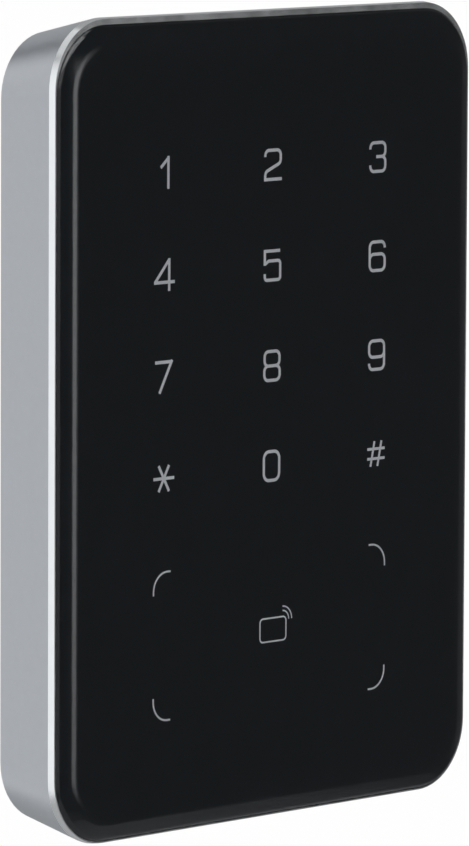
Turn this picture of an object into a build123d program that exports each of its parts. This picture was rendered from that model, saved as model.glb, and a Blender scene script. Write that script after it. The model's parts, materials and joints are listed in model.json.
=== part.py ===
from build123d import *

import math
import os

# Wall-mounted RFID card reader with a touch keypad behind a black glass front.
# Millimetres. +X is right, +Z is up, the front faces -Y, and the wall is the plane Y = 0.
# Most pieces are layers parallel to the wall, so their places are depths in front of the wall.

os.makedirs("parts", exist_ok=True)

# ---------------------------------------------------------------- driving dimensions
panel_width = 90.0
panel_height = 120.0
corner_radius = 10.3
side_draft = 0.9  # the housing narrows by this much on each side towards the wall
end_draft = 2.4  # and by this much at the top and at the bottom
rear_corner_radius = 9.4

# Depths in front of the wall, from the wall to the glass
plate_thickness = 1.2
housing_rear = 0.3
cover_rear = 3.2
cover_front = 4.4
shoulder_depth = 5.0
board_rear = 5.8
board_front = 7.0
touch_board_rear = 9.45
touch_board_front = 10.25
copper_front = 10.35
ledge_rear = 10.3
rim_edge = 10.8
recess_floor = 11.1
film_rear = 11.25
film_front = 11.36
ink_front = 11.40
glass_rear = 11.45
glass_slope_start = 12.25
lip_front = 11.9
glass_front = 13.0

# Housing, and the polished lip round the glass, which is wider along the top edge
lip_chamfer = 0.16
lip_inset = 0.36
top_lip_inset = 1.0
recess_width = panel_width - 2 * lip_inset
recess_height = panel_height - lip_inset - top_lip_inset
recess_radius = corner_radius - lip_inset
recess_z = (lip_inset - top_lip_inset) / 2
window_width, window_height, window_radius = 76.0, 106.0, 5.0
cavity_width, cavity_height, cavity_radius = 82.0, 109.0, 6.4
rear_opening_width, rear_opening_height, rear_opening_radius = 84.4, 111.4, 7.6
boss_radius = 2.8
boss_pilot_radius = 1.3
boss_points = [(x, z) for x in (-38.6, 38.6) for z in (-46.0, 0.0, 46.0)]

# Glass: a straight edge, a shallow slope, and soft bends up to its flat face
glass_clearance = 0.05
glass_slope = 2.9
glass_face_bend = 5.6
glass_edge_bend = 0.9

# Layers behind the glass, all set in from the recess's outline
film_inset = 0.14
tape_inset = 0.34
tape_opening_width, tape_opening_height, tape_opening_radius = 77.0, 107.0, 5.5

# Back cover and its gasket, which stop short of the housing's lock pocket
cover_clearance = 0.3
gasket_land = 0.8
pocket_notch_width, pocket_notch_height, pocket_notch_z = 18.8, 20.6, -52.0

# Wall bracket
bracket_width, bracket_height, bracket_radius = 78.0, 100.0, 4.0
bracket_z = 1.4
wall_hole_pitch_x, wall_hole_pitch_z = 56.0, 84.0
wall_hole_radius = 2.25
box_slot_x = 30.0
box_slot_length, box_slot_width = 8.0, 4.2

# Hooks of the wall bracket, and the screw that locks the reader on them
lift_travel = 5.0
hook_points = [(x, z) for x in (-32.0, 32.0) for z in (-30.0, 30.0)]
hook_width = 8.0
hook_lip_height = 3.0
hook_thickness = 1.2
hook_lip_rear, hook_lip_front = 4.55, 5.55
hook_window_height = 6.4
lock_depth = 4.6
flange_bottom, flange_top = -48.6, -47.4
flange_width, flange_reach = 12.0, 7.4
nut_bore_radius, nut_radius = 1.5, 2.6
nut_top = -45.0
screw_top, head_top = -45.2, -55.9
head_radius, head_height = 2.75, 1.8
shank_radius = 1.45
washer_radius, washer_thickness = 3.0, 0.45

# Lock pocket: an open well in the housing for the flange and its nut, inside a solid block
well_width, well_height, well_z = 14.4, 10.4, -48.8
well_front = 8.2
block_rear, block_front = 2.0, 9.2
block_width, block_height, block_z = 18.0, 15.0, -49.5
collar_width, collar_height, collar_z = 21.6, 16.8, -48.6
below_housing = -62.0
screw_hole_radius, counterbore_radius = 1.7, 3.2

# Tamper plunger and cable inlet
tamper_x, tamper_z = 20.0, -12.0
tamper_hole_radius = 1.5
cable_z = 17.0
cable_radius = 2.75
grommet_radius, cable_hole_radius = 6.5, 5.0
vent_x, vent_z = -18.0, -20.0
vent_radius, vent_hole_radius = 3.0, 1.4

# Keypad legends, printed behind the glass a little to the right of its middle
print_x = 0.9
column_pitch = 23.2
row_pitch = 14.89
top_row = 37.1
key_rows = ["123", "456", "789", "*0#"]
digit_pen = 0.48
half_digit_width = 1.68
half_digit_height = 2.15
card_zone_half_width = 25.3
card_zone_top, card_zone_bottom = -21.3, -43.2
corner_mark_width, corner_mark_height, corner_mark_bend = 3.6, 3.4, 2.9
card_icon_x, card_icon_z = print_x + 0.5, -32.05
corner_mark_pen, card_pen, wave_pen = 0.29, 0.24, 0.22

nodes = []


def at_depth(depth):
    """Plane parallel to the wall, facing the front, at a depth in front of the wall."""
    return Plane.XZ.offset(depth)


def at_height(height):
    """Horizontal plane facing up, whose local y is the world's Y."""
    return Plane.XY.offset(height)


def finish(builder, name):
    """Label a finished piece and write it to its own file."""
    builder.part.label = name
    nodes.append(name)
    export_step(builder.part, f"parts/{name}.step")


def key_places():
    """Each key's character with the centre of its legend, row by row."""
    for row, characters in enumerate(key_rows):
        for column, character in enumerate(characters):
            yield character, print_x + (column - 1) * column_pitch, top_row - row * row_pitch


key_centres = [(x, z) for _, x, z in key_places()]
led_centres = key_centres + [(card_icon_x, card_icon_z)]


def stroke(points, x, z, pen, radius=0.0):
    """Draw a pen line through points around (x, z) on the current sketch."""
    placed = [(x + px, z + pz) for px, pz in points]
    with BuildLine() as path:
        if radius:
            FilletPolyline(*placed, radius=radius)
        else:
            Polyline(*placed)
    trace(path.line, line_width=pen)


def ring(x, z, width, height, radius, pen):
    """Draw a closed rounded outline, centred on (x, z), on the current sketch."""
    with Locations((x, z)):
        RectangleRounded(width + pen, height + pen, radius + pen / 2)
        RectangleRounded(width - pen, height - pen, radius - pen / 2, mode=Mode.SUBTRACT)


def legend(character, x, z):
    """Draw one key legend, in a squared condensed style, on the current sketch."""
    a, h, pen, bend, tail = half_digit_width, half_digit_height, digit_pen, 0.85, 0.95
    edge = h + pen / 2
    if character == "1":
        stroke([(0.75, edge), (0.75, -edge)], x, z, pen)
        stroke([(0.85, h + 0.05), (-0.85, h - 1.4)], x, z, pen)
    elif character == "2":
        stroke([(-a, h - tail), (-a, h), (a, h), (a, 0.25), (-a, -1.05), (-a, -edge)], x, z, pen, 0.8)
        stroke([(-a - pen / 2, -h), (a + pen / 2, -h)], x, z, pen)
    elif character == "3":
        stroke([(-a, h - tail), (-a, h), (a, h), (a, 0.05), (-0.35, 0.05)], x, z, pen, 0.8)
        stroke([(-0.35, 0.05), (a, 0.05), (a, -h), (-a, -h), (-a, tail - h)], x, z, pen, 0.8)
    elif character == "4":
        stroke([(1.0, edge), (1.0, -edge)], x, z, pen)
        stroke([(0.95, h), (-1.95, -1.0)], x, z, pen)
        stroke([(-2.18, -1.08), (2.18, -1.08)], x, z, pen)
    elif character == "5":
        stroke([(a - 0.05, h), (-a, h), (-a, 0.05)], x, z, pen)
        stroke([(-a, 0.2), (-0.85, 0.68), (a, 0.68), (a, -h), (-a, -h), (-a, tail - h)], x, z, pen, 0.5)
    elif character == "6":
        ring(x, z - (h - 0.3) / 2, 2 * a, h + 0.3, bend, pen)
        stroke([(-a, -0.8), (-a, h), (a, h), (a, h - tail)], x, z, pen, bend)
    elif character == "7":
        stroke([(-a - pen / 2, h), (a, h)], x, z, pen)
        stroke([(a, edge), (-1.0, -edge)], x, z, pen)
    elif character == "8":
        ring(x, z - h / 2, 2 * a, h, 0.85, pen)
        ring(x, z + h / 2, 2 * a - 0.12, h, 0.8, pen)
    elif character == "9":
        ring(x, z + (h - 0.3) / 2, 2 * a, h + 0.3, bend, pen)
        stroke([(a, 0.8), (a, -h), (-a, -h), (-a, tail - h)], x, z, pen, bend)
    elif character == "0":
        ring(x, z, 2 * a, 2 * h, 1.1, pen)
    elif character == "*":
        arm = 2.2
        for angle in (0, 60, 120):
            dx, dz = arm * math.cos(math.radians(angle)), arm * math.sin(math.radians(angle))
            stroke([(-dx, -dz), (dx, dz)], x, z, 0.46)
    elif character == "#":
        for side in (-1, 1):
            stroke([(-1.95, side * 0.74), (1.95, side * 0.74)], x, z, 0.42)
            stroke([(side * 0.78 - 0.44, -1.9), (side * 0.78 + 0.44, 1.9)], x, z, 0.42)


# ---------------------------------------------------------------- shared outlines
def rear_outline(gap, notch_gap):
    """Sketch of the rear opening's outline, set in by a gap, with a notch round the lock pocket."""
    with BuildSketch() as outline:
        RectangleRounded(
            rear_opening_width - 2 * gap, rear_opening_height - 2 * gap, rear_opening_radius - gap
        )
        with Locations((0, pocket_notch_z)):
            Rectangle(
                pocket_notch_width + 2 * notch_gap, pocket_notch_height + 2 * notch_gap, mode=Mode.SUBTRACT
            )
    return outline.sketch


cover_outline = rear_outline(cover_clearance, 0)
gasket_opening = rear_outline(cover_clearance + gasket_land, gasket_land)


# ================================================================ wall bracket
with BuildPart() as wall_bracket:
    with BuildSketch(at_depth(0)):
        with Locations((0, bracket_z)):
            RectangleRounded(bracket_width, bracket_height, bracket_radius)
        with Locations((0, cable_z)):
            RectangleRounded(34, 26, 3, mode=Mode.SUBTRACT)
        with GridLocations(wall_hole_pitch_x, wall_hole_pitch_z, 2, 2):
            Circle(wall_hole_radius, mode=Mode.SUBTRACT)
        with Locations((-box_slot_x, 0), (box_slot_x, 0)):
            SlotOverall(box_slot_length, box_slot_width, mode=Mode.SUBTRACT)
        with Locations((tamper_x, tamper_z + lift_travel / 2)):
            RectangleRounded(6, 10.4, 2, mode=Mode.SUBTRACT)
        with Locations(*[(x, z - hook_thickness / 2 - hook_window_height / 2) for x, z in hook_points]):
            Rectangle(hook_width + 0.6, hook_window_height, mode=Mode.SUBTRACT)
    extrude(amount=plate_thickness)
    # Four hooks lanced out of the plate: a stem that stands forward, and a lip that turns up
    with BuildSketch(at_depth(0)):
        with Locations(*hook_points):
            Rectangle(hook_width, hook_thickness)
    extrude(amount=hook_lip_front)
    with BuildSketch(at_depth(hook_lip_rear)):
        with Locations(*[(x, z + hook_lip_height / 2) for x, z in hook_points]):
            Rectangle(hook_width, hook_lip_height + hook_thickness)
    extrude(amount=hook_lip_front - hook_lip_rear)
    # Bottom flange that carries the clinch nut
    with BuildSketch(at_height(flange_bottom)):
        with Locations((0, -flange_reach / 2)):
            Rectangle(flange_width, flange_reach)
        with Locations((0, -lock_depth)):
            Circle(nut_bore_radius + 0.5, mode=Mode.SUBTRACT)
    extrude(amount=flange_top - flange_bottom)
    flange_corners = wall_bracket.edges().filter_by(Axis.Z).group_by(Axis.Y)[0]
    fillet(flange_corners, 1.5)
    lip_tops = [z + hook_lip_height + hook_thickness / 2 for _, z in hook_points]
    lip_tips = [
        edge
        for edge in wall_bracket.edges().filter_by(Axis.X)
        if abs(edge.center().Y + hook_lip_front) < 0.01
        and any(abs(edge.center().Z - top) < 0.01 for top in lip_tops)
    ]
    chamfer(lip_tips, 0.5)
finish(wall_bracket, "wall_bracket")

with BuildPart() as lock_nut:
    with BuildSketch(at_height(flange_top)):
        with Locations((0, -lock_depth)):
            RegularPolygon(nut_radius, 6)
    extrude(amount=nut_top - flange_top)
    chamfer(lock_nut.edges().group_by(Axis.Z)[-1], 0.3)
    with BuildSketch(at_height(flange_bottom)):
        with Locations((0, -lock_depth)):
            Circle(nut_bore_radius + 0.48)
    extrude(amount=flange_top - flange_bottom)
    with BuildSketch(at_height(flange_bottom)):
        with Locations((0, -lock_depth)):
            Circle(nut_bore_radius)
    extrude(amount=nut_top - flange_bottom, mode=Mode.SUBTRACT)
finish(lock_nut, "lock_nut")

# ================================================================ housing
with BuildPart() as housing:
    # Tapered outer wall, then the narrow polished lip around the glass
    with BuildSketch(at_depth(housing_rear)):
        RectangleRounded(
            panel_width - 2 * side_draft, panel_height - 2 * end_draft, rear_corner_radius
        )
    with BuildSketch(at_depth(rim_edge)):
        RectangleRounded(panel_width, panel_height, corner_radius)
    loft(ruled=True)
    with BuildSketch(at_depth(rim_edge)):
        RectangleRounded(panel_width, panel_height, corner_radius)
    with BuildSketch(at_depth(lip_front)):
        RectangleRounded(
            panel_width - 2 * lip_chamfer, panel_height - 2 * lip_chamfer, corner_radius - lip_chamfer
        )
    loft(ruled=True)
    # Recess for the glass, window, front cavity and rear opening
    with BuildSketch(at_depth(recess_floor)):
        with Locations((0, recess_z)):
            RectangleRounded(recess_width, recess_height, recess_radius)
    extrude(amount=lip_front - recess_floor, mode=Mode.SUBTRACT)
    with BuildSketch(at_depth(ledge_rear)):
        RectangleRounded(window_width, window_height, window_radius)
    extrude(amount=recess_floor - ledge_rear, mode=Mode.SUBTRACT)
    with BuildSketch(at_depth(shoulder_depth)):
        RectangleRounded(cavity_width, cavity_height, cavity_radius)
    extrude(amount=ledge_rear - shoulder_depth, mode=Mode.SUBTRACT)
    with BuildSketch(at_depth(housing_rear)):
        RectangleRounded(rear_opening_width, rear_opening_height, rear_opening_radius)
    extrude(amount=shoulder_depth - housing_rear, mode=Mode.SUBTRACT)
    # Six bosses for the cover screws
    with BuildSketch(at_depth(shoulder_depth)):
        with Locations(*boss_points):
            Circle(boss_radius)
    extrude(amount=ledge_rear - shoulder_depth)
    with BuildSketch(at_depth(shoulder_depth)):
        with Locations(*boss_points):
            Circle(boss_pilot_radius)
    extrude(amount=4.5, mode=Mode.SUBTRACT)
    # Lock pocket at the bottom centre, with a collar that the gasket seats against
    with BuildSketch(at_depth(block_rear)):
        with Locations((0, block_z)):
            Rectangle(block_width, block_height)
    extrude(amount=block_front - block_rear)
    with BuildSketch(at_depth(shoulder_depth)):
        with Locations((0, collar_z)):
            Rectangle(collar_width, collar_height)
    extrude(amount=block_front - shoulder_depth)
    with BuildSketch(at_depth(0)):
        with Locations((0, well_z)):
            Rectangle(well_width, well_height)
    extrude(amount=well_front, mode=Mode.SUBTRACT)
    # Lock screw's clearance hole and counterbore, from below
    with BuildSketch(at_height(below_housing)):
        with Locations((0, -lock_depth)):
            Circle(screw_hole_radius)
    extrude(amount=9, mode=Mode.SUBTRACT)
    with BuildSketch(at_height(below_housing)):
        with Locations((0, -lock_depth)):
            Circle(counterbore_radius)
    extrude(amount=head_top + 0.5 - below_housing, mode=Mode.SUBTRACT)
finish(housing, "housing")

# ================================================================ glass and print
def inset_plate(inset):
    """Draw the recess's outline, set in all round, on the current sketch."""
    with Locations((0, recess_z)):
        RectangleRounded(recess_width - 2 * inset, recess_height - 2 * inset, recess_radius - inset)


with BuildPart() as front_glass:
    # A plate with a straight edge, then a slope that two fillets turn into a soft rounded rim
    with BuildSketch(at_depth(glass_rear)):
        inset_plate(glass_clearance)
    extrude(amount=glass_slope_start - glass_rear)
    with BuildSketch(at_depth(glass_slope_start)):
        inset_plate(glass_clearance)
    with BuildSketch(at_depth(glass_front)):
        inset_plate(glass_clearance + glass_slope)
    loft(ruled=True)
    fillet(front_glass.edges().group_by(Axis.Y)[0], glass_face_bend)
    slope_edges = [e for e in front_glass.edges() if abs(e.center().Y + glass_slope_start) < 0.01]
    fillet(slope_edges, glass_edge_bend)
finish(front_glass, "front_glass")

with BuildPart() as print_film:
    with BuildSketch(at_depth(film_rear)):
        inset_plate(film_inset)
    extrude(amount=film_front - film_rear)
finish(print_film, "print_film")

with BuildPart() as key_legends:
    with BuildSketch(at_depth(film_front)):
        for character, x, z in key_places():
            legend(character, x, z)
    extrude(amount=ink_front - film_front)
finish(key_legends, "key_legends")

with BuildPart() as card_zone_marks:
    with BuildSketch(at_depth(film_front)):
        # Four rounded corner marks
        for side in (-1, 1):
            for inward, z in ((-1, card_zone_top), (1, card_zone_bottom)):
                corner = [(-side * corner_mark_width, 0), (0, 0), (0, inward * corner_mark_height)]
                x = print_x + side * card_zone_half_width
                stroke(corner, x, z, corner_mark_pen, corner_mark_bend)
        # Card with two radio waves at its upper right corner
        ring(card_icon_x, card_icon_z, 5.7, 3.5, 0.65, card_pen)
        for wave_radius in (1.35, 2.0):
            with BuildLine() as wave:
                CenterArc((card_icon_x + 2.1, card_icon_z + 1.3), wave_radius, 0, 90)
            trace(wave.line, line_width=wave_pen)
    extrude(amount=ink_front - film_front)
finish(card_zone_marks, "card_zone_marks")

with BuildPart() as panel_tape:
    with BuildSketch(at_depth(recess_floor)):
        inset_plate(tape_inset)
        RectangleRounded(
            tape_opening_width, tape_opening_height, tape_opening_radius, mode=Mode.SUBTRACT
        )
    extrude(amount=film_rear - recess_floor)
finish(panel_tape, "panel_tape")

with BuildPart() as light_guide:
    with BuildSketch(at_depth(copper_front)):
        RectangleRounded(window_width - 0.6, window_height - 0.6, window_radius - 0.3)
    extrude(amount=film_rear - copper_front)
finish(light_guide, "light_guide")

# ================================================================ touch board
with BuildPart() as touch_board:
    with BuildSketch(at_depth(touch_board_rear)):
        RectangleRounded(80, 107, 5)
        with Locations(*boss_points):
            Circle(boss_radius + 0.4, mode=Mode.SUBTRACT)
        with Locations(*led_centres):
            Circle(1.2, mode=Mode.SUBTRACT)
    extrude(amount=touch_board_front - touch_board_rear)
finish(touch_board, "touch_board")

with BuildPart() as touch_pads:
    with BuildSketch(at_depth(touch_board_front)):
        with Locations(*key_centres):
            RectangleRounded(15, 11, 2)
            RectangleRounded(5.4, 6.4, 1, mode=Mode.SUBTRACT)
    extrude(amount=copper_front - touch_board_front)
finish(touch_pads, "touch_pads")

with BuildPart() as antenna_coil:
    # A flat spiral of five turns round the card zone, wound inwards from its outer corner
    turns, pitch = 5, 1.5
    left, right, low, high = -35.5, 35.5, -51.0, -15.5
    path_points = [(left, low + 4)]
    for turn in range(turns):
        step = turn * pitch
        path_points += [
            (left + step, high - step),
            (right - step, high - step),
            (right - step, low + step),
            (left + step + pitch, low + step),
        ]
    path_points.append((left + turns * pitch, low + 12))
    with BuildSketch(at_depth(touch_board_front)):
        with BuildLine() as spiral:
            FilletPolyline(*path_points, radius=2.0)
        trace(spiral.line, line_width=0.8)
    extrude(amount=copper_front - touch_board_front)
finish(antenna_coil, "antenna_coil")

with BuildPart() as backlight_leds:
    with BuildSketch(at_depth(touch_board_rear - 0.6)):
        with Locations(*led_centres):
            Rectangle(3.2, 1.6)
    extrude(amount=0.6)
finish(backlight_leds, "backlight_leds")

with BuildPart() as ferrite_sheet:
    with BuildSketch(at_depth(touch_board_rear - 0.2)):
        with Locations((0, -32.6)):
            RectangleRounded(66, 33, 3)
        with Locations((card_icon_x, card_icon_z)):
            Rectangle(4.4, 2.8, mode=Mode.SUBTRACT)
    extrude(amount=0.2)
finish(ferrite_sheet, "ferrite_sheet")

with BuildPart() as touch_controller:
    with BuildSketch(at_depth(touch_board_rear - 0.8)):
        with Locations((11.6, 0)):
            Rectangle(5, 5)
    extrude(amount=0.8)
    chamfer(touch_controller.edges().group_by(Axis.Y)[-1], 0.15)
finish(touch_controller, "touch_controller")

# ================================================================ inner frame and main board
frame_lugs = [(x, z) for x in (-31.0, 31.0) for z in (-18.0, 45.5)]

with BuildPart() as inner_frame:
    with BuildSketch(at_depth(board_front)):
        RectangleRounded(81.2, 108.2, 6)
        RectangleRounded(68, 99, 4, mode=Mode.SUBTRACT)
        with Locations(*boss_points):
            Circle(boss_radius + 0.4, mode=Mode.SUBTRACT)
        with Locations((0, -50)):
            Rectangle(22.4, 20, mode=Mode.SUBTRACT)
    extrude(amount=touch_board_rear - 0.05 - board_front)
    with BuildSketch(at_depth(board_front)):
        with Locations(*[(math.copysign(31.5, x), z) for x, z in frame_lugs]):
            Rectangle(7, 7)
    extrude(amount=2.2)
    # Two thin bars keep the touch board flat between its rows of keys
    with BuildSketch(at_depth(8.55)):
        with Locations((0, 14.9), (0, -11.9)):
            Rectangle(73, 2.4)
    extrude(amount=touch_board_rear - 0.05 - 8.55)
    with BuildSketch(at_depth(board_front)):
        with Locations(*frame_lugs):
            Circle(1.0)
    extrude(amount=2.0, mode=Mode.SUBTRACT)
finish(inner_frame, "inner_frame")

buzzer_x, buzzer_z = -17.0, 4.0

with BuildPart() as main_board:
    with BuildSketch(at_depth(board_rear)):
        with Locations((0, 5.2)):
            RectangleRounded(69, 89.5, 2)
        with Locations(*[(math.copysign(32.5, x), z - 1) for x, z in hook_points]):
            Rectangle(12.2, 13.2, mode=Mode.SUBTRACT)
        with Locations(*frame_lugs):
            Circle(1.2, mode=Mode.SUBTRACT)
        with Locations((tamper_x, tamper_z)):
            Circle(2.7, mode=Mode.SUBTRACT)
        with Locations((buzzer_x, buzzer_z)):
            Rectangle(9.6, 9.6, mode=Mode.SUBTRACT)
    extrude(amount=board_front - board_rear)
finish(main_board, "main_board")


def add_chip(x, z, width, height, rise):
    """A rectangular component body on the front of the main board."""
    with Locations((x, -board_front - rise / 2, z)):
        Box(width, rise, height)


def add_leads(x, z, width, count, pitch, along_x):
    """Two opposite rows of flat leads beside a component body on the main board."""
    for side in (-1, 1):
        for index in range(count):
            offset = (index - (count - 1) / 2) * pitch
            reach = side * (width / 2 + 0.4)
            place = (x + offset, z + reach) if along_x else (x + reach, z + offset)
            size = (0.35, 0.9) if along_x else (0.9, 0.35)
            with Locations((place[0], -board_front - 0.15, place[1])):
                Box(size[0], 0.3, size[1])


with BuildPart() as microcontroller:
    add_chip(0, -1, 9, 9, 1.3)
    chamfer(microcontroller.edges().group_by(Axis.Y)[0], 0.25)
    add_leads(0, -1, 9, 12, 0.65, True)
    add_leads(0, -1, 9, 12, 0.65, False)
finish(microcontroller, "microcontroller")

with BuildPart() as rf_reader_chip:
    add_chip(0, -26, 6, 6, 0.9)
    chamfer(rf_reader_chip.edges().group_by(Axis.Y)[0], 0.15)
finish(rf_reader_chip, "rf_reader_chip")

with BuildPart() as crystals:
    for x, z in ((10, -26), (10, 3)):
        add_chip(x, z, 3.2, 2.5, 0.8)
finish(crystals, "crystals")

with BuildPart() as bus_drivers:
    for z in (25, 34):
        add_chip(-15, z, 4, 5, 1.5)
        add_leads(-15, z, 4, 4, 1.27, False)
finish(bus_drivers, "bus_drivers")

with BuildPart() as power_regulator:
    add_chip(8, 27, 3.6, 3, 1.1)
    add_leads(8, 27, 3, 3, 0.95, True)
finish(power_regulator, "power_regulator")

with BuildPart() as power_inductor:
    add_chip(17, 27, 5.4, 5.4, 1.6)
    fillet(power_inductor.edges().filter_by(Axis.Y), 1.2)
finish(power_inductor, "power_inductor")

with BuildPart() as filter_capacitors:
    for x, z in ((8, 36), (17, 36), (-6, 34), (-14, -26)):
        add_chip(x, z, 5.6, 3.2, 1.5)
finish(filter_capacitors, "filter_capacitors")

with BuildPart() as board_header:
    with Locations((0, -board_front - 0.6, 46.5)):
        Box(15, 1.2, 3.2)
finish(board_header, "board_header")

with BuildPart() as board_socket:
    with Locations((0, -board_front - 1.2 - 0.62, 46.5)):
        Box(15, 1.24, 4.0)
finish(board_socket, "board_socket")

with BuildPart() as wire_header:
    with BuildSketch(at_depth(4.55)):
        with Locations((0, 33)):
            Rectangle(17, 4.4)
    extrude(amount=board_rear - 4.55)
    with BuildSketch(at_depth(4.55)):
        with Locations(*[((index - 5.5) * 1.25, 32.2) for index in range(12)]):
            Rectangle(0.8, 3.0)
    extrude(amount=0.8, mode=Mode.SUBTRACT)
finish(wire_header, "wire_header")

with BuildPart() as buzzer:
    with BuildSketch(at_depth(5.1)):
        with Locations((buzzer_x, buzzer_z)):
            RectangleRounded(9, 9, 1)
    extrude(amount=3.4)
    with BuildSketch(at_depth(5.1)):
        with Locations((buzzer_x, buzzer_z)):
            Circle(1.2)
    extrude(amount=1.2, mode=Mode.SUBTRACT)
finish(buzzer, "buzzer")

with BuildPart() as tamper_switch:
    with BuildSketch(at_depth(board_front)):
        with Locations((tamper_x, tamper_z)):
            Rectangle(7, 6)
    extrude(amount=1.5)
    with BuildSketch(at_depth(board_front)):
        with Locations((tamper_x, tamper_z)):
            Circle(0.87)
    extrude(amount=1.4, mode=Mode.SUBTRACT)
finish(tamper_switch, "tamper_switch")

plunger_flange_rear, plunger_flange_front = 5.4, 5.9

with BuildPart() as tamper_plunger:
    with BuildSketch(at_depth(0)):
        with Locations((tamper_x, tamper_z)):
            Circle(1.4)
    extrude(amount=plunger_flange_rear)
    fillet(tamper_plunger.edges().group_by(Axis.Y)[-1], 0.5)
    with BuildSketch(at_depth(plunger_flange_rear)):
        with Locations((tamper_x, tamper_z)):
            Circle(2.2)
    extrude(amount=plunger_flange_front - plunger_flange_rear)
    with BuildSketch(at_depth(plunger_flange_front)):
        with Locations((tamper_x, tamper_z)):
            Circle(0.8)
    extrude(amount=2.2)
finish(tamper_plunger, "tamper_plunger")

with BuildPart() as tamper_spring:
    wire, coil = 0.11, 1.4
    coil_length = board_front - plunger_flange_front - 2 * wire - 0.06
    with BuildLine():
        Helix(
            coil_length / 3,
            coil_length,
            coil,
            center=(tamper_x, -plunger_flange_front - wire - 0.03, tamper_z),
            direction=(0, -1, 0),
        )
    spring_start = tamper_spring.pending_edges[0]
    with BuildSketch(Plane(spring_start @ 0, z_dir=spring_start % 0)):
        Circle(wire)
    sweep()
finish(tamper_spring, "tamper_spring")

with BuildPart() as board_screws:
    with BuildSketch(at_depth(4.75)):
        with Locations(*frame_lugs):
            Circle(1.9)
    extrude(amount=board_rear - 4.75)
    with BuildSketch(at_depth(4.75)):
        with Locations(*frame_lugs):
            Rectangle(2.2, 0.5, mode=Mode.ADD)
            Rectangle(0.5, 2.2, mode=Mode.ADD)
    extrude(amount=0.6, mode=Mode.SUBTRACT)
    with BuildSketch(at_depth(board_rear)):
        with Locations(*frame_lugs):
            Circle(0.95)
    extrude(amount=3.0)
finish(board_screws, "board_screws")

# ================================================================ back cover
with BuildPart() as back_cover:
    with BuildSketch(at_depth(cover_rear)):
        add(cover_outline)
        with Locations(*boss_points):
            Circle(boss_pilot_radius, mode=Mode.SUBTRACT)
        with Locations((0, cable_z)):
            Circle(cable_hole_radius, mode=Mode.SUBTRACT)
        with Locations((vent_x, vent_z)):
            Circle(vent_hole_radius, mode=Mode.SUBTRACT)
        with Locations((tamper_x, tamper_z)):
            Circle(tamper_hole_radius, mode=Mode.SUBTRACT)
    extrude(amount=cover_front - cover_rear)
    # A blind pocket in front of each hook slot keeps the inside sealed
    with BuildSketch(at_depth(cover_front)):
        with Locations(*[(x, z - 1) for x, z in hook_points]):
            RectangleRounded(10.2, 11.6, 1)
    extrude(amount=2.5)
    with BuildSketch(at_depth(cover_front)):
        with Locations(*[(x, z - 1) for x, z in hook_points]):
            Rectangle(8.6, 10)
    extrude(amount=1.5, mode=Mode.SUBTRACT)
    with BuildSketch(at_depth(cover_rear)):
        with Locations(*[(x, z - 2.65) for x, z in hook_points]):
            Rectangle(8.6, 6.7)
    extrude(amount=cover_front - cover_rear, mode=Mode.SUBTRACT)
    # Ribs on the rear face stiffen the cover between the hooks
    with BuildSketch(at_depth(cover_rear - 0.6)):
        with Locations((-24, -38.5), (24, -38.5), (-24, 43), (24, 43)):
            Rectangle(16, 1.2)
    extrude(amount=0.6)
finish(back_cover, "back_cover")

with BuildPart() as cover_gasket:
    with BuildSketch(at_depth(cover_front)):
        add(cover_outline)
        add(gasket_opening, mode=Mode.SUBTRACT)
    extrude(amount=shoulder_depth - cover_front)
finish(cover_gasket, "cover_gasket")

with BuildPart() as cover_screws:
    with BuildSketch(at_depth(cover_rear - 1.2)):
        with Locations(*boss_points):
            Circle(2.3)
    extrude(amount=1.2)
    fillet(cover_screws.edges().group_by(Axis.Y)[-1], 0.4)
    with BuildSketch(at_depth(cover_rear - 1.2)):
        with Locations(*boss_points):
            Rectangle(2.6, 0.6)
            Rectangle(0.6, 2.6)
    extrude(amount=0.8, mode=Mode.SUBTRACT)
    with BuildSketch(at_depth(cover_rear)):
        with Locations(*boss_points):
            Circle(1.22)
    extrude(amount=6.0)
finish(cover_screws, "cover_screws")

with BuildPart() as cable_grommet:
    # A groove between two flanges holds the grommet in the cover's hole
    grommet_rear, grommet_front = 2.2, 5.2
    grommet_steps = [
        (grommet_radius, grommet_rear, cover_rear),
        (cable_hole_radius - 0.05, cover_rear, cover_front),
        (grommet_radius, cover_front, grommet_front),
    ]
    for radius, rear, front in grommet_steps:
        with BuildSketch(at_depth(rear)):
            with Locations((0, cable_z)):
                Circle(radius)
        extrude(amount=front - rear)
    with BuildSketch(at_depth(grommet_rear)):
        with Locations((0, cable_z)):
            Circle(cable_radius)
    extrude(amount=grommet_front - grommet_rear, mode=Mode.SUBTRACT)
finish(cable_grommet, "cable_grommet")

with BuildPart() as vent_membrane:
    with BuildSketch(at_depth(cover_front)):
        with Locations((vent_x, vent_z)):
            Circle(vent_radius)
    extrude(amount=0.25)
finish(vent_membrane, "vent_membrane")

# ================================================================ lock screw
with BuildPart() as lock_washer:
    with BuildSketch(at_height(head_top)):
        with Locations((0, -lock_depth)):
            Circle(washer_radius)
            Circle(shank_radius + 0.15, mode=Mode.SUBTRACT)
    extrude(amount=washer_thickness)
finish(lock_washer, "lock_washer")

with BuildPart() as lock_screw:
    with BuildSketch(at_height(head_top - head_height)):
        with Locations((0, -lock_depth)):
            Circle(head_radius)
    extrude(amount=head_height)
    fillet(lock_screw.edges().group_by(Axis.Z)[0], 0.4)
    with BuildSketch(at_height(head_top - head_height)):
        with Locations((0, -lock_depth)):
            RegularPolygon(1.2, 6)
    extrude(amount=1.2, mode=Mode.SUBTRACT)
    with BuildSketch(at_height(head_top)):
        with Locations((0, -lock_depth)):
            Circle(shank_radius)
    extrude(amount=screw_top - head_top)
    chamfer(lock_screw.edges().group_by(Axis.Z)[-1], 0.4)
finish(lock_screw, "lock_screw")

print(len(nodes), "nodes:", ", ".join(nodes))
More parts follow.
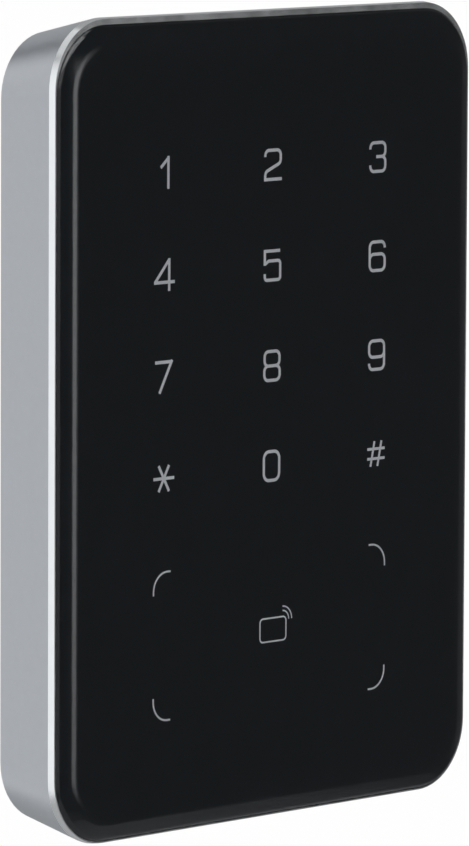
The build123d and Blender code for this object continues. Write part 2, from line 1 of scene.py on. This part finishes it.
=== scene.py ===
"""Looks of the wall-mounted RFID card reader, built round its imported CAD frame.

Metres, in the row frame: +X is right, +Z is up, the front faces -Y and the wall is the plane Y = 0.
"""

import json
import math

import bmesh
import bpy
from mathutils import Matrix, Vector


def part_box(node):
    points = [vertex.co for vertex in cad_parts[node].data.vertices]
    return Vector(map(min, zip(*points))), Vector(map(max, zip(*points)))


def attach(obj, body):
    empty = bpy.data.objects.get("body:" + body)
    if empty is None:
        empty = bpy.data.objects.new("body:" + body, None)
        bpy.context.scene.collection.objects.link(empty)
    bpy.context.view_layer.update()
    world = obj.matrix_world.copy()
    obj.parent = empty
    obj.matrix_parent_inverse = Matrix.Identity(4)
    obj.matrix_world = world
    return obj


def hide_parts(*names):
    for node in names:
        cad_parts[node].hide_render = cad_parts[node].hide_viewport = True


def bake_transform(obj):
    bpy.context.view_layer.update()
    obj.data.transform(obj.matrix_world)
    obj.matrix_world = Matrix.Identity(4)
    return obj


MM = 0.001

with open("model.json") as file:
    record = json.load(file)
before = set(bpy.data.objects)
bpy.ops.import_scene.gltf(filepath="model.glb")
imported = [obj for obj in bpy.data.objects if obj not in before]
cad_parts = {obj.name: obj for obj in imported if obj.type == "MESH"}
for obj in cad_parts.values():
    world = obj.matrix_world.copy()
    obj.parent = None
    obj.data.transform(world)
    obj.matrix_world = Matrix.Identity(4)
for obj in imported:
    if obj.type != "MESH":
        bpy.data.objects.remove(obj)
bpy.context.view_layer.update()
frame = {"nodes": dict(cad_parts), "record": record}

# ------------------------------------------------------------------ places taken from the frame
GLASS_LOW, GLASS_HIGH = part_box("front_glass")
HOUSING_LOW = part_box("housing")[0]
PANEL_CENTRE = Vector((0, GLASS_LOW.y, 0))

# ------------------------------------------------------------------ view, in degrees and metres
VIEW_YAW, VIEW_PITCH, VIEW_ROLL = 47.20, 6.16, 0.26
VIEW_DISTANCE = 1087.6 * MM
# How far the camera's axis passes to the left of the panel's centre, and below it
AIM_LEFT, AIM_BELOW = 5.51 * MM, 1.05 * MM
FOCAL_LENGTH, SENSOR_WIDTH = 313.28, 36

# ------------------------------------------------------------------ studio light
BACKDROP_COLOUR = (0.992, 0.992, 0.992, 1)
LIGHT_COLOUR = (0.97, 0.985, 1.0, 1)
BASE_RADIANCE = 0.055

# Azimuth 0 is straight in front of the panel, 90 is to its right, -90 to its left, 180 behind it. A row
# gives the middle azimuth and half width, the middle elevation and half height, the width of the soft
# edge, the radiance and, where it differs, the width of the soft edge above and below. Angles in degrees
SOFT_BOXES = [
    (28, 5, -1, 3, 4, 1.45, 13),  # key light, in front
    (30, 4, -1, 3, 11, 0.95, 13),  # its spill, which fades out to the right
    (12, 5, 28, 5, 4, 1.3),  # small light for a glint in the glass's upper left corner
    (-20, 40, 52, 16, 10, 3.0),  # broad light, high in front
    (-48, 28, 34, 20, 10, 1.0),  # fill, front left
    (-52, 26, -4, 14, 12, 0.45),  # low card, front left
    (-106, 14, 0, 50, 8, 1.08),  # strip for the polished lip, left and a little behind
    (-160, 38, 55, 9, 8, 0.62),  # patch for the lip's upper corner
    (-152, 20, 0, 30, 10, 0.54),  # panel for the side wall, left and behind
    (100, 10, 10, 30, 16, 0.22),  # fill for the right side
    (142, 22, 15, 35, 10, 0.32),  # low fill, right and behind
    (180, 60, -54, 16, 18, 0.21),  # low light behind
    (182, 10, -6, 22, 12, 0.55),  # panel straight behind
    (0, 180, 90, 20, 8, 1.6),  # overhead
]


# ================================================================== camera
def add_camera():
    """The photograph's view: from the object's left, a little above it, through a long lens."""
    yaw, pitch, roll = (math.radians(angle) for angle in (VIEW_YAW, VIEW_PITCH, VIEW_ROLL))
    ahead = Vector((math.sin(yaw) * math.cos(pitch), math.cos(yaw) * math.cos(pitch), -math.sin(pitch)))
    level = Vector((math.cos(yaw), -math.sin(yaw), 0))
    upright = level.cross(ahead)
    right = math.cos(roll) * level + math.sin(roll) * upright
    up = math.cos(roll) * upright - math.sin(roll) * level
    place = PANEL_CENTRE - AIM_LEFT * right - AIM_BELOW * up - VIEW_DISTANCE * ahead

    data = bpy.data.cameras.new("camera")
    data.lens = FOCAL_LENGTH
    data.sensor_width = SENSOR_WIDTH
    data.clip_start = 0.01
    data.clip_end = 50
    camera = bpy.data.objects.new("camera", data)
    turn = Matrix((right, up, -ahead)).transposed()
    camera.matrix_world = Matrix.Translation(place) @ turn.to_4x4()
    bpy.context.scene.collection.objects.link(camera)
    bpy.context.scene.camera = camera


# ================================================================== node helpers
def node_tree(owner):
    """An empty node tree on a material or world."""
    owner.use_nodes = True
    tree = owner.node_tree
    tree.nodes.clear()
    return tree


def put(tree, kind, inputs=(), **settings):
    """Add a node, with its settings, and set or link its inputs by name or index."""
    node = tree.nodes.new(kind)
    for key, value in settings.items():
        setattr(node, key, value)
    for key, value in dict(inputs).items():
        if isinstance(value, bpy.types.NodeSocket):
            tree.links.new(value, node.inputs[key])
        else:
            node.inputs[key].default_value = value
    return node


def math_of(tree, operation, *values):
    """The output of a Math node on numbers or sockets."""
    return put(tree, "ShaderNodeMath", enumerate(values), operation=operation).outputs[0]


def ramp_of(tree, value, low, high, to_low=0.0, to_high=1.0):
    """The output of a Map Range node, which eases from to_low to to_high as value goes from low to high."""
    inputs = {"Value": value, "From Min": low, "From Max": high, "To Min": to_low, "To Max": to_high}
    return put(tree, "ShaderNodeMapRange", inputs, interpolation_type="SMOOTHSTEP").outputs["Result"]


def shade_of(tree, factor, dark, light):
    """A colour between dark and light."""
    node = put(tree, "ShaderNodeMix", data_type="RGBA")
    colours = [socket for socket in node.inputs if socket.type == "RGBA"]
    tree.links.new(factor, node.inputs[0])
    colours[0].default_value = (*dark, 1)
    colours[1].default_value = (*light, 1)
    return next(socket for socket in node.outputs if socket.type == "RGBA")


def place_of(tree):
    """The point on the surface, in the object's own coordinates."""
    return put(tree, "ShaderNodeTexCoord").outputs["Object"]


def noise_of(tree, place, scale, detail):
    """The value, mostly 0.3 to 0.7, of a noise whose scale is in features per metre."""
    inputs = {"Vector": place, "Scale": scale, "Detail": detail}
    return put(tree, "ShaderNodeTexNoise", inputs).outputs["Fac"]


# ================================================================== studio
def add_world():
    """A white backdrop for the camera, and soft boxes painted by direction for everything else."""
    world = bpy.data.worlds.new("studio")
    bpy.context.scene.world = world
    tree = node_tree(world)
    direction = put(tree, "ShaderNodeTexCoord").outputs["Generated"]
    axes = put(tree, "ShaderNodeSeparateXYZ", {0: direction})
    facing = math_of(tree, "MULTIPLY", axes.outputs["Y"], -1.0)
    azimuth = math_of(tree, "ARCTAN2", axes.outputs["X"], facing)
    elevation = math_of(tree, "ARCSINE", axes.outputs["Z"])

    def window(angle, centre, half, soft, wraps):
        """1 inside a band of directions, easing to 0 over its soft edge."""
        offset = math_of(tree, "SUBTRACT", angle, math.radians(centre))
        if wraps:
            offset = math_of(tree, "WRAP", offset, math.pi, -math.pi)
        size = math_of(tree, "ABSOLUTE", offset)
        return ramp_of(tree, size, math.radians(half), math.radians(half + soft), to_low=1.0, to_high=0.0)

    def soft_box(azimuth_centre, azimuth_half, elevation_centre, elevation_half, soft, radiance, fade=None):
        """The radiance of one soft box in each direction."""
        across = window(azimuth, azimuth_centre, azimuth_half, soft, True)
        along = window(elevation, elevation_centre, elevation_half, fade or soft, False)
        inside = math_of(tree, "MULTIPLY", across, along)
        return math_of(tree, "MULTIPLY", inside, radiance)

    light = BASE_RADIANCE
    for row in SOFT_BOXES:
        light = math_of(tree, "ADD", light, soft_box(*row))
    studio = put(tree, "ShaderNodeBackground", {"Color": LIGHT_COLOUR, "Strength": light})
    backdrop = put(tree, "ShaderNodeBackground", {"Color": BACKDROP_COLOUR, "Strength": 1.0})
    to_camera = put(tree, "ShaderNodeLightPath").outputs["Is Camera Ray"]
    mixed = put(tree, "ShaderNodeMixShader", {0: to_camera, 1: studio.outputs[0], 2: backdrop.outputs[0]})
    put(tree, "ShaderNodeOutputWorld", {"Surface": mixed.outputs[0]})


def floor_material(fade_start, fade_end):
    """Pale, and clear beyond fade_end, so that the floor has no edge."""
    material = bpy.data.materials.new("floor")
    tree = node_tree(material)
    place = place_of(tree)
    from_middle = put(tree, "ShaderNodeVectorMath", {0: place}, operation="LENGTH").outputs["Value"]
    grain = noise_of(tree, place, scale=18, detail=4)
    colour = shade_of(tree, grain, (0.80, 0.80, 0.80), (0.86, 0.86, 0.86))
    # It is pale to look at, but throws back less light, so that it doesn't wash out what faces down
    to_camera = put(tree, "ShaderNodeLightPath").outputs["Is Camera Ray"]
    bounce = ramp_of(tree, to_camera, low=0, high=1, to_low=0.44, to_high=1.0)
    dimmed = put(tree, "ShaderNodeVectorMath", {0: colour, "Scale": bounce}, operation="SCALE")
    pale = put(tree, "ShaderNodeBsdfDiffuse", {"Color": dimmed.outputs[0]})
    clear = put(tree, "ShaderNodeBsdfTransparent")
    # From below, the floor is clear, so that it doesn't hide the reader's underside
    from_below = put(tree, "ShaderNodeNewGeometry").outputs["Backfacing"]
    fade = ramp_of(tree, from_middle, fade_start, fade_end)
    fade = math_of(tree, "MAXIMUM", fade, from_below)
    mixed = put(tree, "ShaderNodeMixShader", {0: fade, 1: pale.outputs[0], 2: clear.outputs[0]})
    put(tree, "ShaderNodeOutputMaterial", {"Surface": mixed.outputs[0]})
    return material


def add_floor():
    """A pale round floor well below the reader, which fades out into the backdrop."""
    radius, drop, steps = 0.62, 0.20, 96
    mesh = bpy.data.meshes.new("floor")
    disc = bmesh.new()
    bmesh.ops.create_circle(disc, cap_ends=True, radius=radius, segments=steps)
    disc.to_mesh(mesh)
    disc.free()
    mesh.materials.append(floor_material(0.42 * radius, 0.85 * radius))
    floor = bpy.data.objects.new("floor", mesh)
    floor.location = (0, 0, HOUSING_LOW.z - drop)
    bpy.context.scene.collection.objects.link(floor)


# ================================================================== materials
def surface(
    name,
    dark,
    light,
    rough,
    metal=0.0,
    scale=900,
    grain=0.0,
    grain_scale=6000,
    rough_spread=0.06,
    specular=0.5,
):
    """A Principled material with a mottled colour, an uneven gloss and a fine grain.

    dark and light are the two colours that it varies between, and rough_spread is how far its roughness
    goes either side of rough. scale and grain_scale are in features per metre, and grain is the grain's
    height in millimetres.
    """
    material = bpy.data.materials.new(name)
    tree = node_tree(material)
    place = place_of(tree)
    blotch = noise_of(tree, place, scale, detail=5)
    rough_low, rough_high = rough - rough_spread, rough + rough_spread
    inputs = {
        "Base Color": shade_of(tree, blotch, dark, light),
        "Roughness": ramp_of(tree, blotch, low=0.3, high=0.7, to_low=rough_low, to_high=rough_high),
        "Metallic": metal,
        "Specular IOR Level": specular,
    }
    if grain:
        height = noise_of(tree, place, grain_scale, detail=3)
        bump = put(tree, "ShaderNodeBump", {"Height": height, "Distance": grain * MM})
        inputs["Normal"] = bump.outputs[0]
    shader = put(tree, "ShaderNodeBsdfPrincipled", inputs)
    put(tree, "ShaderNodeOutputMaterial", {"Surface": shader.outputs[0]})
    return material


def clear_glass():
    """Clear tempered glass with a polished edge, very slightly smeared."""
    material = bpy.data.materials.new("clear_glass")
    tree = node_tree(material)
    smear = noise_of(tree, place_of(tree), scale=60, detail=3)
    inputs = {
        "Base Color": (0.96, 0.97, 1.0, 1),
        "Roughness": ramp_of(tree, smear, low=0.35, high=0.75, to_low=0.0, to_high=0.02),
        "Transmission Weight": 1.0,
        "IOR": 1.5,
    }
    shader = put(tree, "ShaderNodeBsdfPrincipled", inputs)
    put(tree, "ShaderNodeOutputMaterial", {"Surface": shader.outputs[0]})
    return material


FINISHES = {
    "satin_metal": {
        "dark": (0.590, 0.612, 0.645),
        "light": (0.630, 0.652, 0.685),
        "rough": 0.34,
        "metal": 1.0,
        "scale": 900,
        "grain": 0.004,
        "rough_spread": 0.015,
    },
    "polished_lip": {
        "dark": (0.80, 0.81, 0.82),
        "light": (0.84, 0.85, 0.86),
        "rough": 0.22,
        "metal": 1.0,
        "scale": 300,
        "rough_spread": 0.03,
    },
    # The print is bonded to the glass, so the film and the ink have no gloss of their own
    "black_film": {
        "dark": (0.016, 0.019, 0.021),
        "light": (0.020, 0.023, 0.026),
        "rough": 0.6,
        "scale": 400,
        "specular": 0.0,
    },
    "legend_ink": {
        "dark": (0.89, 0.895, 0.90),
        "light": (0.95, 0.955, 0.96),
        "rough": 0.6,
        "scale": 2500,
        "specular": 0.0,
    },
    "tape": {
        "dark": (0.012, 0.012, 0.012),
        "light": (0.02, 0.02, 0.02),
        "rough": 0.8,
        "scale": 1500,
        "grain": 0.01,
    },
    "diffuser": {
        "dark": (0.80, 0.81, 0.80),
        "light": (0.86, 0.87, 0.86),
        "rough": 0.5,
        "scale": 600,
    },
    "circuit_board": {
        "dark": (0.010, 0.085, 0.045),
        "light": (0.014, 0.12, 0.062),
        "rough": 0.4,
        "scale": 1200,
        "grain": 0.01,
    },
    "copper": {
        "dark": (0.80, 0.38, 0.20),
        "light": (0.86, 0.46, 0.27),
        "rough": 0.3,
        "metal": 1.0,
        "scale": 1500,
    },
    "led": {
        "dark": (0.78, 0.74, 0.50),
        "light": (0.86, 0.82, 0.62),
        "rough": 0.25,
        "scale": 2500,
    },
    "ferrite": {
        "dark": (0.06, 0.055, 0.052),
        "light": (0.085, 0.08, 0.075),
        "rough": 0.75,
        "scale": 1800,
        "grain": 0.01,
    },
    "chip": {
        "dark": (0.018, 0.018, 0.02),
        "light": (0.03, 0.03, 0.033),
        "rough": 0.62,
        "scale": 3000,
        "grain": 0.008,
    },
    "plated_part": {
        "dark": (0.56, 0.55, 0.52),
        "light": (0.66, 0.65, 0.62),
        "rough": 0.3,
        "metal": 1.0,
        "scale": 2000,
    },
    "capacitor": {
        "dark": (0.58, 0.30, 0.05),
        "light": (0.68, 0.38, 0.08),
        "rough": 0.45,
        "scale": 2000,
    },
    "inner_plastic": {
        "dark": (0.018, 0.018, 0.02),
        "light": (0.028, 0.028, 0.031),
        "rough": 0.5,
        "scale": 800,
        "grain": 0.01,
    },
    "cover_plastic": {
        "dark": (0.030, 0.031, 0.034),
        "light": (0.042, 0.044, 0.048),
        "rough": 0.55,
        "scale": 500,
        "grain": 0.035,
        "grain_scale": 2600,
    },
    "connector_plastic": {
        "dark": (0.70, 0.67, 0.58),
        "light": (0.78, 0.76, 0.68),
        "rough": 0.4,
        "scale": 900,
    },
    "silicone": {
        "dark": (0.055, 0.057, 0.06),
        "light": (0.075, 0.078, 0.082),
        "rough": 0.65,
        "scale": 900,
        "grain": 0.01,
    },
    "membrane": {
        "dark": (0.72, 0.72, 0.69),
        "light": (0.84, 0.84, 0.82),
        "rough": 0.9,
        "scale": 5000,
        "grain": 0.03,
    },
    "spring_steel": {
        "dark": (0.48, 0.49, 0.50),
        "light": (0.58, 0.59, 0.60),
        "rough": 0.25,
        "metal": 1.0,
        "scale": 3000,
    },
    "screw_steel": {
        "dark": (0.48, 0.49, 0.52),
        "light": (0.60, 0.61, 0.63),
        "rough": 0.28,
        "metal": 1.0,
        "scale": 1200,
    },
    "bracket_steel": {
        "dark": (0.50, 0.52, 0.545),
        "light": (0.66, 0.68, 0.70),
        "rough": 0.36,
        "metal": 1.0,
        "scale": 160,
        "grain": 0.006,
    },
    "nut_steel": {
        "dark": (0.46, 0.47, 0.48),
        "light": (0.58, 0.59, 0.60),
        "rough": 0.3,
        "metal": 1.0,
        "scale": 1500,
    },
}

MATERIALS = {name: surface(name, **finish) for name, finish in FINISHES.items()}
MATERIALS["front_glass"] = clear_glass()


def dress_frame():
    """Give every CAD node the material of its slot in the record."""
    for subpart in frame["record"]["subparts"]:
        mesh = frame["nodes"][subpart["node"]].data
        mesh.materials.clear()
        mesh.materials.append(MATERIALS[subpart["material_slot"]])


def polish_lip():
    """The housing's front edge, round the glass, is polished: its faces get a second material."""
    lip_depth = 1.15 * MM
    mesh = frame["nodes"]["housing"].data
    mesh.materials.append(MATERIALS["polished_lip"])
    for face in mesh.polygons:
        if face.center.y < HOUSING_LOW.y + lip_depth:
            face.material_index = 1


# ================================================================== outlines
def rounded_outline(width, height, radius, steps):
    """Points (x, z) round a rounded rectangle, anticlockwise, steps + 1 of them at each corner."""
    points = []
    for quarter, (side, level) in enumerate(((1, 1), (-1, 1), (-1, -1), (1, -1))):
        for step in range(steps + 1):
            angle = math.radians(90 * (quarter + step / steps))
            x = side * (width / 2 - radius) + radius * math.cos(angle)
            z = level * (height / 2 - radius) + radius * math.sin(angle)
            points.append((x, z))
    return points


def bend(start, corner, end, radius, steps):
    """Points of the arc that rounds a corner of a profile, tangent to both its sides."""
    start, corner, end = Vector(start), Vector(corner), Vector(end)
    into, out = (start - corner).normalized(), (end - corner).normalized()
    half = into.angle(out) / 2
    reach = radius / math.tan(half)
    middle = corner + (into + out).normalized() * (radius / math.sin(half))
    first = corner + into * reach - middle
    last = corner + out * reach - middle
    sweep = first.angle(last)
    points = []
    for step in range(steps + 1):
        before, after = (1 - step / steps) * sweep, step / steps * sweep
        spoke = (first * math.sin(before) + last * math.sin(after)) / math.sin(sweep)
        points.append(tuple(middle + spoke))
    return points


def skin(name, rings, smooth_angle):
    """A closed mesh object through rings of points, with the first and last ring capped.

    Edges that turn by more than smooth_angle, in degrees, stay sharp.
    """
    mesh = bpy.data.meshes.new(name)
    shell = bmesh.new()
    rows = [[shell.verts.new(point) for point in ring] for ring in rings]
    count = len(rows[0])
    for low, high in zip(rows, rows[1:]):
        for i in range(count):
            j = (i + 1) % count
            shell.faces.new((low[i], low[j], high[j], high[i]))
    shell.faces.new(rows[0][::-1])
    shell.faces.new(rows[-1])
    bmesh.ops.recalc_face_normals(shell, faces=shell.faces)
    for face in shell.faces:
        face.smooth = True
    for edge in shell.edges:
        if len(edge.link_faces) == 2 and edge.calc_face_angle() > math.radians(smooth_angle):
            edge.smooth = False
    shell.to_mesh(mesh)
    shell.free()
    piece = bpy.data.objects.new(name, mesh)
    bpy.context.scene.collection.objects.link(piece)
    return piece


# ================================================================== front glass
def add_glass():
    """The glass plate, with a straight edge, a shallow slope and two soft bends up to its flat face.

    The print is bonded to its back, so the glass reaches a hair past the print's front, and no air is
    left between them.
    """
    corner_radius, corner_steps = 9.89 * MM, 24
    straight_edge = 0.80 * MM
    slope_width = 2.90 * MM
    edge_radius, edge_steps = 0.9 * MM, 10
    face_radius, face_steps = 5.6 * MM, 14
    rear_chamfer = 0.06 * MM
    flat_margin = 0.4 * MM
    print_overlap = 0.03 * MM

    width = GLASS_HIGH.x - GLASS_LOW.x
    height = GLASS_HIGH.z - GLASS_LOW.z
    middle_z = (GLASS_LOW.z + GLASS_HIGH.z) / 2
    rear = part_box("print_film")[0].y + print_overlap
    thickness = rear - GLASS_LOW.y
    # A profile's points are (inset from the outline, rise from the rear)
    foot = (0, 0)
    edge_top = (0, straight_edge + rear - GLASS_HIGH.y)
    slope_top = (slope_width, thickness)
    on_face = (width / 2, thickness)
    edge_bend = bend(foot, edge_top, slope_top, edge_radius, edge_steps)
    face_bend = bend(edge_top, slope_top, on_face, face_radius, face_steps)
    face_rim = (face_bend[-1][0] + flat_margin, thickness)
    profile = [(rear_chamfer, 0), (0, rear_chamfer)] + edge_bend + face_bend + [face_rim]
    rings = []
    for inset, rise in profile:
        outline = rounded_outline(width - 2 * inset, height - 2 * inset, corner_radius - inset, corner_steps)
        rings.append([(x, rear - rise, middle_z + z) for x, z in outline])
    glass = skin("glass_panel", rings, smooth_angle=40)
    glass.data.materials.append(MATERIALS["front_glass"])
    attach(glass, "reader")
    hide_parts("front_glass")


# ================================================================== lock screw
def add_lock_screw():
    """The lock screw with its metric thread and the hexagon socket in its rounded head."""
    head_height, round_over, round_steps = 1.8 * MM, 0.4 * MM, 6
    thread_radius, thread_depth, pitch = 1.45 * MM, 0.27 * MM, 0.5 * MM
    socket_radius, socket_depth, socket_bevel = 1.2 * MM, 1.2 * MM, 0.1 * MM
    tip_length = 0.4 * MM
    steps, rows_per_turn = 48, 6

    low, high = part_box("lock_screw")
    axis_x, axis_y = (low.x + high.x) / 2, (low.y + high.y) / 2
    head_radius = (high.x - low.x) / 2
    core_radius = thread_radius - thread_depth
    shoulder = low.z + head_height
    length = high.z - shoulder

    def ring(height, radius_at):
        """Points round the screw's axis at a height, where the radius depends on the angle."""
        points = []
        for step in range(steps):
            angle = 2 * math.pi * step / steps
            radius = radius_at(angle)
            points.append((axis_x + radius * math.cos(angle), axis_y + radius * math.sin(angle), height))
        return points

    def circle(radius):
        """The same radius at every angle."""
        return lambda angle: radius

    def hexagon(angle):
        """The radius of the socket's outline."""
        return socket_radius * math.cos(math.pi / 6) / math.cos(angle % (math.pi / 3) - math.pi / 6)

    def thread(rise):
        """The radius of the thread, which runs out at the head and at the tip."""
        depth = thread_depth * min(1, rise / pitch, (length - rise) / tip_length)

        def flank(angle):
            phase = (rise / pitch - angle / (2 * math.pi)) % 1
            return core_radius + depth * (1 - abs(2 * phase - 1))

        return flank

    rings = [ring(low.z + socket_depth, hexagon), ring(low.z + socket_bevel, hexagon)]
    rings.append(ring(low.z, lambda angle: hexagon(angle) + socket_bevel))
    for step in range(round_steps + 1):
        turn = math.radians(90 * step / round_steps)
        radius = head_radius - round_over * (1 - math.sin(turn))
        rings.append(ring(low.z + round_over * (1 - math.cos(turn)), circle(radius)))
    rings += [ring(shoulder, circle(head_radius)), ring(shoulder, circle(core_radius))]
    rows = round(length / pitch * rows_per_turn)
    for row in range(1, rows + 1):
        rise = length * row / rows
        rings.append(ring(shoulder + rise, thread(rise)))
    screw = skin("lock_screw_threaded", rings, smooth_angle=30)
    screw.data.materials.append(MATERIALS["screw_steel"])
    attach(screw, "lock_screw")
    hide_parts("lock_screw")


# ================================================================== tamper spring
def add_tamper_spring():
    """The fine coil behind the tamper plunger's flange."""
    wire_radius = 0.1 * MM
    turns, steps, sides = 3, 40, 10

    low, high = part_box("tamper_spring")
    axis_x, axis_z = (low.x + high.x) / 2, (low.z + high.z) / 2
    coil_radius = (high.x - low.x) / 2 - wire_radius
    start, end = low.y + wire_radius, high.y - wire_radius
    along = Vector((0, 1, 0))
    rings = []
    for step in range(turns * steps + 1):
        angle = 2 * math.pi * step / steps
        advance = start + (end - start) * step / (turns * steps)
        outward = Vector((math.cos(angle), 0, math.sin(angle)))
        centre = Vector((axis_x, advance, axis_z)) + coil_radius * outward
        ring = []
        for side in range(sides):
            turn = 2 * math.pi * side / sides
            ring.append(centre + wire_radius * (math.cos(turn) * outward + math.sin(turn) * along))
        rings.append(ring)
    coil = skin("tamper_spring_coil", rings, smooth_angle=60)
    coil.data.materials.append(MATERIALS["spring_steel"])
    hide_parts("tamper_spring")
    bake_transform(coil)


add_camera()
add_world()
add_floor()
dress_frame()
polish_lip()
add_glass()
add_lock_screw()
add_tamper_spring()

bpy.context.scene.view_settings.view_transform = "Standard"
